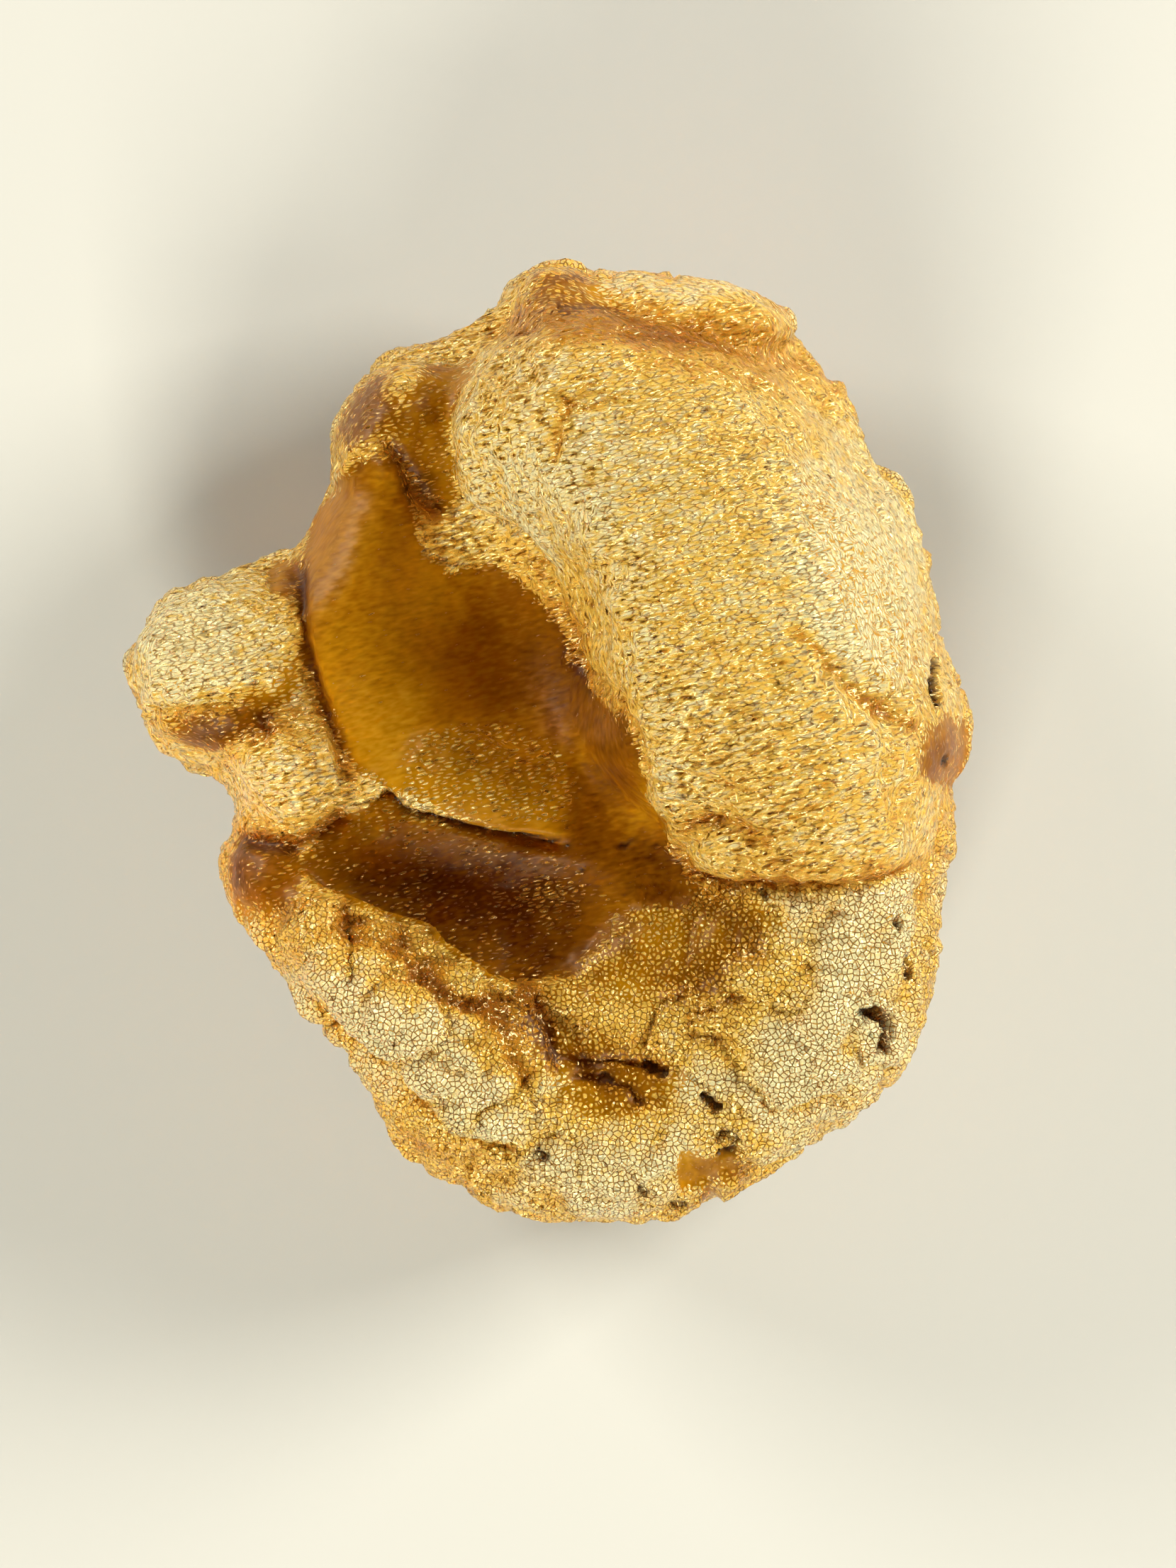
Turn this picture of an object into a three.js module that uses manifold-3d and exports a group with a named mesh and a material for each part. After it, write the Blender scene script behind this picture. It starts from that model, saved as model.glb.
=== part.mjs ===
// A piece of raw copal: one lump of hardened tree resin, lying on its flattest side.
// Millimetres, +Z up. The origin is in the middle of the lump's footprint, on the surface that it rests on.
// X and Y run across the lump, and its broad frosted dome faces +Z.
import * as THREE from "three";
import { mergeVertices } from "three/addons/utils/BufferGeometryUtils.js";
import Module from "manifold-3d";

// --- driving dimensions --------------------------------------------------------------------------
const WIDTH = 49.2; // along X
const LENGTH = 55.8; // along Y
const THICKNESS = 23.5; // from the resting side to the top of the dome
const RIM_RADIUS = 3.6; // rounding of the edge, all the way round the outline
const RIM_HEIGHT = 8.6; // how high the widest part of the side lies
const RIM_WAVE = 0.9; // how far it rises and falls on its way round
const DRAWN_IN = 1.6; // how far the side has drawn in, DRAWN_IN_OVER above or below the rim
const DRAWN_IN_OVER = 9;
const SEED_DETAIL = 20; // rows of extra edges on each face of the seed sphere: 20 gives 8,820 triangles

// --- the outline, seen from above ----------------------------------------------------------------
// It starts at the tip and goes round clockwise.
const OUTLINE = [
  // the tip, the top lobe and the shoulder of the dome
  [0.2, 27.9], [1.5, 27.5], [2.8, 26.8], [6, 27.0], [9.6, 26.6], [12.9, 25.9], [14.1, 24.7], [15.5, 22.0],
  [16.5, 20.7], [18.0, 19.2], [18.5, 16.9], [20.2, 15.1], [21.3, 13.0], [22.1, 9.5], [22.7, 4.9],
  // the knob
  [23.7, 3.6], [24.2, 1.6], [24.7, -0.4], [24.2, -1.9], [23.3, -2.8],
  // the crust, down the side and along the bottom
  [23.4, -5], [22.6, -9], [22.3, -13.4], [21.5, -16.5], [20.0, -19.2], [17.6, -21.3], [15, -23.3],
  [13.4, -25.0], [10.8, -26.3], [9.2, -26.2], [7.8, -27.3], [3.6, -27.8], [0.5, -27.7], [-2.6, -27.4],
  [-6, -25.2], [-9.0, -23.0], [-10.2, -20.4], [-11.8, -17.4], [-14.2, -15.3], [-15.4, -13.1], [-17.4, -11.0],
  // the cheek, the notch and the ear
  [-18.8, -8.2], [-18.6, -6.3], [-17.7, -5.2], [-18.3, -3.4], [-19.2, -2.0], [-21.6, -0.8], [-23.3, 0.2],
  [-23.9, 2.0], [-24.6, 3.8], [-23.9, 6.4], [-22.6, 8.1], [-19.6, 9.3], [-16.2, 10.5], [-14.3, 11.6],
  // the smooth flank, and the small lobe beside the tip
  [-13.7, 13.4], [-12.7, 14.8], [-12.8, 17.2], [-11.9, 19.3], [-9.8, 21.9], [-7.4, 22.9], [-5, 23.9],
  [-2.9, 25.3], [-1.9, 27.1],
];

// --- the lobes that the resin set in -------------------------------------------------------------
// at is a lobe's middle, radii its half sizes and turn its turn about Z, in degrees.
// blend is how widely it melts into the lobes above it in the list.
const LOBES = [
  { name: "core", at: [0.5, -0.5, 7], radii: [28, 31.5, 6], turn: 0, blend: 0 },
  { name: "dome", at: [9.4, 8.6, 10.8], radii: [20, 11.6, 12.7], turn: -58, blend: 1.2 },
  { name: "dome_side", at: [15.5, 2.6, 9.8], radii: [9.5, 11.8, 8.8], turn: 0, blend: 4 },
  { name: "dome_top", at: [3.6, 18.2, 11], radii: [9.4, 6.2, 7.6], turn: -6, blend: 3 },
  { name: "top_lobe", at: [8.5, 26, 9.4], radii: [9.5, 4.4, 6.2], turn: -8, blend: 0.8 },
  { name: "tip", at: [0.2, 26, 9.6], radii: [3.4, 4.6, 4.4], turn: 25, blend: 1.4 },
  { name: "small_lobe", at: [-10.4, 18.6, 9.2], radii: [4.4, 6.6, 5.8], turn: -28, blend: 1 },
  { name: "flank", at: [-11.2, 8, 8.6], radii: [5.8, 10, 6.4], turn: -4, blend: 1.6 },
  { name: "ear", at: [-20.6, 4.9, 10], radii: [7.4, 6.2, 4.8], turn: 20, blend: 1 },
  { name: "ear_lip", at: [-21.6, 0.2, 7.8], radii: [4.6, 2.6, 3.2], turn: -22, blend: 1 },
  { name: "shoulder", at: [-15.8, -1.6, 9], radii: [5.4, 5, 5.6], turn: 0, blend: 1 },
  { name: "cheek", at: [-16.6, -8.8, 8.8], radii: [7, 4.4, 4.8], turn: -50, blend: 1 },
  { name: "fold", at: [-7.6, -16, 8.4], radii: [11, 4.6, 7.4], turn: -38, blend: 1 },
  { name: "fold_foot", at: [-8.5, -21, 7.4], radii: [10, 4, 4.6], turn: -44, blend: 0.8 },
  { name: "bottom_crust", at: [4.5, -21.5, 7.2], radii: [14, 8.4, 6.8], turn: 4, blend: 1.6 },
  { name: "side_crust", at: [14.8, -14.6, 7.8], radii: [10.5, 11, 7.6], turn: 24, blend: 2.2 },
  { name: "knob", at: [23, -0.7, 8.8], radii: [3, 2.9, 3.4], turn: 0, blend: 0.5 },
  { name: "oval_patch", at: [-3.8, -1.9, 9.2], radii: [6.8, 4, 5.4], turn: -8, blend: 1 },
  { name: "under_dome", at: [8, 7, 6], radii: [13, 17, 6.5], turn: -30, blend: 3 },
  { name: "under_crust", at: [5, -10, 6], radii: [13, 9, 6.4], turn: 10, blend: 3 },
  { name: "under_flank", at: [-7, 2, 6], radii: [9, 13, 5.8], turn: 0, blend: 3 },
];
// Where the skin sank while it dried.
const HOLLOWS = [
  { name: "middle", at: [-3, 6.4, 20.4], radii: [6.4, 10.5, 9.4], turn: 22, blend: 2 },
  { name: "lens", at: [-6.2, -9, 19.4], radii: [13.5, 5.6, 8.2], turn: -10, blend: 0.8 },
  { name: "lens_end", at: [-0.2, -10.6, 17.6], radii: [5.2, 4.6, 7], turn: 0, blend: 0.8 },
];

// --- signed distances, negative inside -----------------------------------------------------------
function lobeDistance(point, { at, radii, turn }) {
  const angle = THREE.MathUtils.degToRad(turn);
  const dx = point.x - at[0];
  const dy = point.y - at[1];
  const along = (Math.cos(angle) * dx + Math.sin(angle) * dy) / radii[0];
  const across = (Math.cos(angle) * dy - Math.sin(angle) * dx) / radii[1];
  const up = (point.z - at[2]) / radii[2];
  const reach = Math.hypot(along, across, up);
  const slope = Math.hypot(along / radii[0], across / radii[1], up / radii[2]);
  return slope > 0 ? (reach * (reach - 1)) / slope : -Math.min(...radii);
}

function meltedTogether(a, b, blend) {
  const share = Math.max(blend - Math.abs(a - b), 0);
  return Math.min(a, b) - (blend > 0 ? (share * share) / (4 * blend) : 0);
}

const cutAway = (solid, hollow, blend) => -meltedTogether(-solid, hollow, blend);

const OUTLINE_STEPS = 260;
const outlinePoints = new THREE.CatmullRomCurve3(
  OUTLINE.map(([x, y]) => new THREE.Vector3(x, y, 0)), true, "centripetal",
).getSpacedPoints(OUTLINE_STEPS);

function outlineDistance(x, y) {
  let nearest = Infinity;
  let inside = false;
  for (let i = 0; i < OUTLINE_STEPS; i += 1) {
    const a = outlinePoints[i];
    const b = outlinePoints[i + 1];
    const ex = b.x - a.x;
    const ey = b.y - a.y;
    const share = THREE.MathUtils.clamp(((x - a.x) * ex + (y - a.y) * ey) / (ex * ex + ey * ey), 0, 1);
    nearest = Math.min(nearest, Math.hypot(x - a.x - share * ex, y - a.y - share * ey));
    if (a.y > y !== b.y > y && x < a.x + ((y - a.y) / ey) * ex) inside = !inside;
  }
  return inside ? -nearest : nearest;
}

// Two solids' common part, with its edge rounded to a radius.
function roundedCommonPart(a, b, radius) {
  return Math.min(Math.max(a, b), -radius) + Math.hypot(Math.max(a + radius, 0), Math.max(b + radius, 0));
}

// The side is a wall on the outline that draws in above and below the rim.
function sideDistance({ x, y, z }) {
  const around = Math.atan2(y, x);
  const rim = RIM_HEIGHT + RIM_WAVE * Math.sin(2 * around + 1) * Math.cos(3 * around);
  return outlineDistance(x, y) + DRAWN_IN * ((z - rim) / DRAWN_IN_OVER) ** 2;
}

function resinDistance(point) {
  let lump = Infinity;
  for (const lobe of LOBES) lump = meltedTogether(lump, lobeDistance(point, lobe), lobe.blend);
  for (const hollow of HOLLOWS) lump = cutAway(lump, lobeDistance(point, hollow), hollow.blend);
  return roundedCommonPart(lump, sideDistance(point), RIM_RADIUS);
}

// --- a sphere drawn down onto the resin's surface ------------------------------------------------
const HEART = new THREE.Vector3(1, 0, 8); // the seed sphere's points come in towards here
const START_REACH = 40;
const SHORTEST_STEP = 0.05;
const LONGEST_STEP = 0.8;
const PROBE = 0.05; // half the length over which a slope is measured
const RELAX_ROUNDS = 24;
const RELAX_SHARE = 0.6;
const SETTLE_ROUNDS = 3;
const LONGEST_PULL = 0.6;

function outwardSlope(point) {
  const slope = new THREE.Vector3();
  for (const axis of ["x", "y", "z"]) {
    const ahead = point.clone();
    const behind = point.clone();
    ahead[axis] += PROBE;
    behind[axis] -= PROBE;
    slope[axis] = (resinDistance(ahead) - resinDistance(behind)) / (2 * PROBE);
  }
  return slope;
}

function pullOntoSurface(point, slope) {
  const pull = -resinDistance(point) / Math.max(slope.length(), 0.5);
  const shortened = THREE.MathUtils.clamp(pull, -LONGEST_PULL, LONGEST_PULL);
  point.addScaledVector(slope.clone().normalize(), shortened);
}

function firstTouch(direction) {
  const point = new THREE.Vector3();
  let reach = START_REACH;
  while (reach > 0) {
    point.copy(HEART).addScaledVector(direction, reach);
    const distance = resinDistance(point);
    if (distance <= 0) break;
    reach -= THREE.MathUtils.clamp(distance / 2, SHORTEST_STEP, LONGEST_STEP);
  }
  return point;
}

function neighboursOf(geometry) {
  const neighbours = Array.from({ length: geometry.getAttribute("position").count }, () => new Set());
  const corners = geometry.index.array;
  for (let i = 0; i < corners.length; i += 3) {
    for (let side = 0; side < 3; side += 1) {
      const a = corners[i + side];
      const b = corners[i + ((side + 1) % 3)];
      neighbours[a].add(b);
      neighbours[b].add(a);
    }
  }
  return neighbours.map((set) => [...set]);
}

function nuggetGeometry() {
  const sphere = new THREE.IcosahedronGeometry(1, SEED_DETAIL);
  sphere.deleteAttribute("normal");
  sphere.deleteAttribute("uv");
  const skin = mergeVertices(sphere, 1e-5);
  const position = skin.getAttribute("position");
  const stretch = new THREE.Vector3(WIDTH, LENGTH, THICKNESS);
  let points = Array.from({ length: position.count }, (_, i) =>
    firstTouch(new THREE.Vector3().fromBufferAttribute(position, i).multiply(stretch).normalize()));

  // Each point slides along the surface towards the middle of its neighbours, which evens the triangles.
  const neighbours = neighboursOf(skin);
  for (let round = 0; round < RELAX_ROUNDS; round += 1) {
    const slopes = points.map(outwardSlope);
    points = points.map((point, i) => {
      const slide = new THREE.Vector3();
      for (const j of neighbours[i]) slide.add(points[j]);
      slide.divideScalar(neighbours[i].length).sub(point).multiplyScalar(RELAX_SHARE);
      slide.projectOnPlane(slopes[i].clone().normalize());
      const moved = point.clone().add(slide);
      pullOntoSurface(moved, slopes[i]);
      return moved;
    });
  }
  for (let round = 0; round < SETTLE_ROUNDS; round += 1) {
    for (const point of points) pullOntoSurface(point, outwardSlope(point));
  }
  points.forEach((point, i) => position.setXYZ(i, point.x, point.y, point.z));
  return skin;
}

// The skin's box is fitted to the driving dimensions, with the resting side left where it is.
function fitToSize(skin) {
  skin.computeBoundingBox();
  const { min, max } = skin.boundingBox;
  return skin
    .translate(-(min.x + max.x) / 2, -(min.y + max.y) / 2, 0)
    .scale(WIDTH / (max.x - min.x), LENGTH / (max.y - min.y), THICKNESS / max.z);
}

// --- the flat side that it rests on --------------------------------------------------------------
const wasm = await Module();
wasm.setup();

function solidOf(geometry) {
  const vertProperties = new Float32Array(geometry.getAttribute("position").array);
  const triVerts = new Uint32Array(geometry.index.array);
  return new wasm.Manifold(new wasm.Mesh({ numProp: 3, vertProperties, triVerts }));
}

function geometryOf(solid) {
  const { vertProperties, triVerts } = solid.getMesh();
  return new THREE.BufferGeometry()
    .setAttribute("position", new THREE.BufferAttribute(new Float32Array(vertProperties), 3))
    .setIndex(new THREE.BufferAttribute(new Uint32Array(triVerts), 1));
}

function groundBelow() {
  const depth = THICKNESS;
  const box = new THREE.BoxGeometry(2 * WIDTH, 2 * LENGTH, depth).translate(0, 0, -depth / 2);
  box.deleteAttribute("normal");
  box.deleteAttribute("uv");
  return mergeVertices(box, 1e-5);
}

const copal = new THREE.Mesh(
  geometryOf(solidOf(fitToSize(nuggetGeometry())).subtract(solidOf(groundBelow()))),
  new THREE.MeshStandardMaterial({ color: 0xd79a35, roughness: 0.45, transparent: true, opacity: 0.9 }),
);
copal.name = "copal_nugget";

const root = new THREE.Group();
root.add(copal);
export default root;
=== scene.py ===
# %% [markdown]
# # A lump of raw copal
# Copal is tree resin that has hardened but is still far from being amber. This lump set in one mass: a
# broad dome, a side lobe like an ear, smaller lobes, a sunken middle and a crust along the bottom. Where
# air and soil reached the skin it is frosted and finely cracked. Where it broke or stayed sheltered it is
# smooth, and the light goes in. The lesson builds it in the order in which it formed: the lump, its
# folds, its dried skin, and the dirt in its pits.

# %% Load the frame
import math

import bmesh
import bpy
import numpy as np
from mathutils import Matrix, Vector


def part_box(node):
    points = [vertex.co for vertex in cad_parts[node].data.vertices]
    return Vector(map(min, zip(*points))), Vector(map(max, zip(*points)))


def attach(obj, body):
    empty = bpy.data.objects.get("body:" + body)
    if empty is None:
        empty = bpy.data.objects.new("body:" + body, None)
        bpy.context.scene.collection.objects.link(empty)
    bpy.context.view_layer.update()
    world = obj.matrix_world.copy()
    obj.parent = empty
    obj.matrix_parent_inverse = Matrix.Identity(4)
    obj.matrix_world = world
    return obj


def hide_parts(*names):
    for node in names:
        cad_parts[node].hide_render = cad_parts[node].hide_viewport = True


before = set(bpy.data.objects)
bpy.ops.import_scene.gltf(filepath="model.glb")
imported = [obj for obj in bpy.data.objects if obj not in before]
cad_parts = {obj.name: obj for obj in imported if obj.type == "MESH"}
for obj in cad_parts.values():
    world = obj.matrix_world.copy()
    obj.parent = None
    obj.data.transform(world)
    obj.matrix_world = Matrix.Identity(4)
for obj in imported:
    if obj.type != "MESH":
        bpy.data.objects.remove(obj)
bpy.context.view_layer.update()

NODE = "copal_nugget"
MM = 0.001
low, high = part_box(NODE)
width, length, thickness = high - low
print(f"lump {width / MM:.1f} x {length / MM:.1f} x {thickness / MM:.1f} mm")

# %% [markdown]
# ## Camera
# The lump lies on its back, so the camera looks straight down on it. A long lens at half a metre keeps
# the dome from swelling towards the viewer. The view is set by how many millimetres it covers, which is
# easier to judge than a lens length.

# %% Camera
FRAME_HEIGHT = 92.2 * MM  # covered by the view, top to bottom, at the level of the rim
CAMERA_CENTRE = (2.2 * MM, -2.5 * MM)
RIM_LEVEL = 10 * MM
CAMERA_REACH = 500 * MM
NEAREST_SEEN = 10 * MM


def placed(name, data):
    """A new object in the scene that holds the data."""
    holder = bpy.data.objects.new(name, data)
    bpy.context.scene.collection.objects.link(holder)
    return holder


lens = bpy.data.cameras.new("camera")
lens.sensor_fit = "VERTICAL"
lens.angle = 2 * math.atan(FRAME_HEIGHT / 2 / CAMERA_REACH)
lens.clip_start = NEAREST_SEEN
camera = placed("camera", lens)
camera.location = (*CAMERA_CENTRE, RIM_LEVEL + CAMERA_REACH)
bpy.context.scene.camera = camera
print(f"camera sees {math.degrees(lens.angle):.1f} degrees")

# %% [markdown]
# ## Floor
# A plain pale floor lies a hair below the resting face, so that the two aren't in one plane. See-through
# things borrow much of their light from what lies under them, so the paler the floor, the more the resin
# glows.

# %% Floor
FLOOR_HALF = 1.5
FLOOR_GAP = 0.03 * MM
FLOOR_COLOUR = (0.29, 0.281, 0.266)
FLOOR_ROUGHNESS = 0.7


def new_material(name):
    material = bpy.data.materials.new(name)
    material.use_nodes = True
    return material, material.node_tree.nodes["Principled BSDF"]


floor_finish, floor_shader = new_material("pale_floor")
floor_shader.inputs["Base Color"].default_value = (*FLOOR_COLOUR, 1)
floor_shader.inputs["Roughness"].default_value = FLOOR_ROUGHNESS
floor_mesh = bpy.data.meshes.new("floor")
corner_signs = [(-1, -1), (1, -1), (1, 1), (-1, 1)]
floor_corners = [(x * FLOOR_HALF, y * FLOOR_HALF, -FLOOR_GAP) for x, y in corner_signs]
floor_mesh.from_pydata(floor_corners, [], [(0, 1, 2, 3)])
floor_mesh.materials.append(floor_finish)
floor = placed("floor", floor_mesh)
print(f"floor {2 * FLOOR_HALF:.0f} m wide")

# %% [markdown]
# ## Light
# One soft lamp stands low on the right, so that its light rakes across the skin and every wrinkle shows.
# Two weaker ones, at the upper left and below, and a dim warm sky keep the other sides from going dull.
# Light may bounce just often enough for the resin to look deep, which keeps a render short. So does
# leaving out the light tree, which pays off only with many lamps.

# %% Light
LAMP_SIZE = (0.4, 0.3)
LAMPS = [
    # name, place, watts, colour
    ("right_lamp", (0.75, 0.35, 0.33), 27.5, (0.98, 0.97, 0.86)),
    ("left_lamp", (-0.66, 0.46, 0.28), 17, (0.98, 0.97, 0.86)),
    ("lower_lamp", (-0.1, -0.8, 0.36), 20, (0.99, 0.98, 0.84)),
]
SKY_COLOUR = (1, 0.94, 0.82)
SKY_STRENGTH = 0.15

for name, place, watts, colour in LAMPS:
    lamp = bpy.data.lights.new(name, "AREA")
    lamp.shape = "RECTANGLE"
    lamp.size, lamp.size_y = LAMP_SIZE
    lamp.energy = watts
    lamp.color = colour
    holder = placed(name, lamp)
    holder.location = place
    toward_middle = -holder.location
    holder.rotation_euler = toward_middle.to_track_quat("-Z", "Y").to_euler()

world = bpy.data.worlds.new("studio")
world.use_nodes = True
sky = world.node_tree.nodes["Background"]
sky.inputs["Color"].default_value = (*SKY_COLOUR, 1)
sky.inputs["Strength"].default_value = SKY_STRENGTH
world.cycles.sampling_method = "NONE"
bpy.context.scene.world = world
light_paths = bpy.context.scene.cycles
light_paths.max_bounces = 8
light_paths.transmission_bounces = 8
light_paths.diffuse_bounces = 1
light_paths.glossy_bounces = 3
light_paths.adaptive_threshold = 0.15
light_paths.use_light_tree = False
bpy.context.scene.view_settings.view_transform = "Standard"
print(f"{len(LAMPS)} lamps and a pale sky")

# %% [markdown]
# ## The lump's skin
# The CAD solid has flat facets about a millimetre across. A copy of it is merged and smoothed by
# subdivision, and then remeshed into small even squares, because the next steps press folds and wrinkles
# into it point by point, and they can only be as fine as the mesh is. The squares' size keeps the skin
# under 200,000 triangles.

# %% A fine, even skin
MERGE_REACH = 0.001 * MM
ROUNDINGS = 2
SKIN_CELL = 0.284 * MM


def evaluated_mesh(holder):
    bpy.context.view_layer.update()
    ready = holder.evaluated_get(bpy.context.evaluated_depsgraph_get())
    return bpy.data.meshes.new_from_object(ready)


def fine_skin(source, name):
    loose = bmesh.new()
    loose.from_mesh(source.data)
    bmesh.ops.remove_doubles(loose, verts=loose.verts, dist=MERGE_REACH)
    merged = bpy.data.meshes.new(name)
    loose.to_mesh(merged)
    loose.free()
    holder = placed(name, merged)
    rounder = holder.modifiers.new("rounder", "SUBSURF")
    rounder.levels = ROUNDINGS
    rounder.render_levels = ROUNDINGS
    squares = holder.modifiers.new("squares", "REMESH")
    squares.mode = "VOXEL"
    squares.voxel_size = SKIN_CELL
    holder.data = evaluated_mesh(holder)
    holder.modifiers.clear()
    return holder


skin = fine_skin(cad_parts[NODE], "copal_lump")
point_count = len(skin.data.vertices)
print(f"skin of {point_count} points and about {2 * point_count} triangles")

# %% [markdown]
# ## Arrays to sculpt with
# The sculpting is done on plain arrays of numbers, in millimetres: where each point is, and which way the
# skin faces there. Nearly all of the marks belong to the front, so each point also gets a share from 0 on
# the back to 1 on the front. Another share is 0 next to the floor, so that the lump keeps the flat that
# it rests on.

# %% Points, facings and the front
FRONT_FACINGS = (-0.15, 0.25)  # upward parts of the facing where the front begins and where it is full
FLOOR_FADE = (0.3, 1.6)


def read_vectors(kind):
    flat = np.empty(3 * point_count)
    skin.data.vertices.foreach_get(kind, flat)
    return flat.reshape(-1, 3)


def write_points(places):
    skin.data.vertices.foreach_set("co", (places * MM).ravel())
    skin.data.update()


def smooth_step(start, end, value):
    share = np.clip((value - start) / (end - start), 0, 1)
    return share * share * (3 - 2 * share)


points = read_vectors("co") / MM
facings = read_vectors("normal")
front = smooth_step(*FRONT_FACINGS, facings[:, 2])
off_floor = smooth_step(*FLOOR_FADE, points[:, 2])
print(f"{front.mean():.2f} of the skin faces the front")

# %% [markdown]
# ## Tools: noise, cells and lines
# A few small tools make all of the marks. Smooth noise is random numbers on a grid, blended between the
# grid's points. Rough noise adds finer layers of it. Sizes are in millimetres, and a seed always gives
# the same noise.

# %% Smooth noise
GRID = 32
ROUGH_SPAN = 1.6  # about what the layers of rough noise add up to


def noise(places, size, seed):
    table = np.random.default_rng(seed).uniform(-1, 1, (GRID, GRID, GRID))
    grid = places / size
    corner = np.floor(grid).astype(int)
    share = grid - corner
    share = share * share * (3 - 2 * share)
    blend = np.zeros(len(places))
    for dx in (0, 1):
        for dy in (0, 1):
            for dz in (0, 1):
                weight = (np.abs(1 - dx - share[:, 0]) * np.abs(1 - dy - share[:, 1])
                          * np.abs(1 - dz - share[:, 2]))
                at = (corner + (dx, dy, dz)) % GRID
                blend += weight * table[at[:, 0], at[:, 1], at[:, 2]]
    return blend


def rough_noise(places, size, seed, layers=3):
    layered = np.zeros(len(places))
    for layer in range(layers):
        layered += noise(places, size / 2**layer, seed + layer) / 2**layer
    return layered / ROUGH_SPAN


trial = noise(points, size=4, seed=1)
print(f"noise from {trial.min():.2f} to {trial.max():.2f}")

# %% [markdown]
# Cells find the two nearest of a scatter of seeds. The difference between the two distances is zero on
# the border between two cells, as in dried mud.

# %% Cells
FAR = 9.0


def cell_border(places, size, seed):
    jitter = np.random.default_rng(seed).uniform(0, 1, (GRID, GRID, GRID, 3))
    grid = places / size
    home = np.floor(grid).astype(int)
    nearest = np.full(len(places), FAR)
    second = np.full(len(places), FAR)
    for dx in (-1, 0, 1):
        for dy in (-1, 0, 1):
            for dz in (-1, 0, 1):
                cell = home + (dx, dy, dz)
                wrapped = cell % GRID
                seeds = cell + jitter[wrapped[:, 0], wrapped[:, 1], wrapped[:, 2]]
                gap = np.linalg.norm(grid - seeds, axis=1)
                second = np.minimum(second, np.maximum(nearest, gap))
                nearest = np.minimum(nearest, gap)
    return second - nearest


print(f"cell borders up to {cell_border(points, size=2, seed=1).max():.2f} cells away")

# %% [markdown]
# Folds and clear areas follow listed lines. One tool finds how far each point lies from
# a line, on which side and how far along it, and another does the same for a closed outline. Both look at
# slightly wavering places, so that the listed lines don't look ruled.

# %% Lines
def wavering(places, size=2.4, sway=0.35, seed=3):
    shifted = places.copy()
    shifted[:, 0] += sway * rough_noise(places, size, seed)
    shifted[:, 1] += sway * rough_noise(places, size, seed + 20)
    return shifted


swayed = wavering(points)


def line_field(line, places=None):
    """How far each point is from the line, on which side (1 on the left), and how far along (0 to 1)."""
    x, y = (swayed if places is None else places)[:, :2].T
    corners = np.array(line, float)
    lengths = np.linalg.norm(np.diff(corners, axis=0), axis=1)
    starts = np.concatenate([[0], np.cumsum(lengths)])
    distance = np.full(len(x), np.inf)
    side = np.zeros(len(x))
    along = np.zeros(len(x))
    for i, (ax, ay) in enumerate(corners[:-1]):
        ex, ey = corners[i + 1] - corners[i]
        share = np.clip(((x - ax) * ex + (y - ay) * ey) / lengths[i] ** 2, 0, 1)
        gap = np.hypot(x - ax - share * ex, y - ay - share * ey)
        closer = gap < distance
        distance = np.where(closer, gap, distance)
        side = np.where(closer, np.sign(ex * (y - ay) - ey * (x - ax)), side)
        along = np.where(closer, (starts[i] + share * lengths[i]) / starts[-1], along)
    return distance, side, along


def area_field(outline, places=None):
    """Signed distance to a closed outline: positive inside."""
    x, y = (swayed if places is None else places)[:, :2].T
    inside = np.zeros(len(x), bool)
    for (ax, ay), (bx, by) in zip(outline, outline[1:] + outline[:1]):
        if ay != by:
            crosses = (ay > y) != (by > y)
            inside ^= crosses & (x < ax + (y - ay) / (by - ay) * (bx - ax))
    distance = line_field(outline + outline[:1], places)[0]
    return np.where(inside, distance, -distance)


print("line and area tools ready")

# %% [markdown]
# ## The clear bowl
# Under the dome the resin sank into one smooth bowl of clear skin. Some of the solid's lobes meet there
# in low bumps, each of which would catch a reflection, so the heights are blended into the bowl that fits
# them best.

# %% Ease the clear bowl
BOWL_MIDDLE = (1.2, -11)
BOWL_FIT = 5.44  # how far from the middle the heights are read
BOWL_FADE = (5.1, 2.04)  # the distances at which the easing begins and is full


def eased_to_a_bowl():
    away = np.hypot(points[:, 0] - BOWL_MIDDLE[0], points[:, 1] - BOWL_MIDDLE[1])
    near = (away < BOWL_FIT) & (front > 0.5)
    x, y = (points[near, :2] - BOWL_MIDDLE).T
    terms = np.stack([np.ones_like(x), x, y, x * x, x * y, y * y], axis=1)
    bowl = np.linalg.lstsq(terms, points[near, 2], rcond=None)[0]
    moves = (terms @ bowl - points[near, 2]) * smooth_step(*BOWL_FADE, away[near])
    points[near, 2] += moves
    return moves


print(f"bowl eased by up to {np.abs(eased_to_a_bowl()).max():.2f} mm")

# %% [markdown]
# ## Folds
# Resin flows over itself and sets, so each lobe ends in a rolled lip with a crease under it. The lines of
# the folds are given in millimetres from the middle of the lump.

# %% The lines of the folds
DOME_EDGE = [(-5.9, 20.6), (-5.8, 18.5), (-5.3, 17), (-5.4, 15.5), (-5, 14.3), (-4, 13.2), (-1.6, 12.6),
             (0, 10.7), (0.7, 9.3), (1, 8), (1.8, 6), (2.6, 4.5), (4, 2.9), (4.8, 1.2), (5.3, -0.3),
             (6, -2.5), (6.8, -4.3), (7.6, -6)]
DOME_LIP = [(7.4, -6.4), (8.2, -7.4), (9.5, -7.9), (12, -8.1), (15, -8.2), (17.5, -7.9), (19.5, -7.4),
            (21.6, -6.6)]
LIP_CREASE = [(7.6, -4.9), (9.5, -4.7), (11, -4.8), (12, -5.2), (13.2, -6.1)]
DOME_SCAR = [(1.3, 20.2), (0.9, 18.6), (0.5, 17.4), (0.1, 15.8)]
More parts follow.
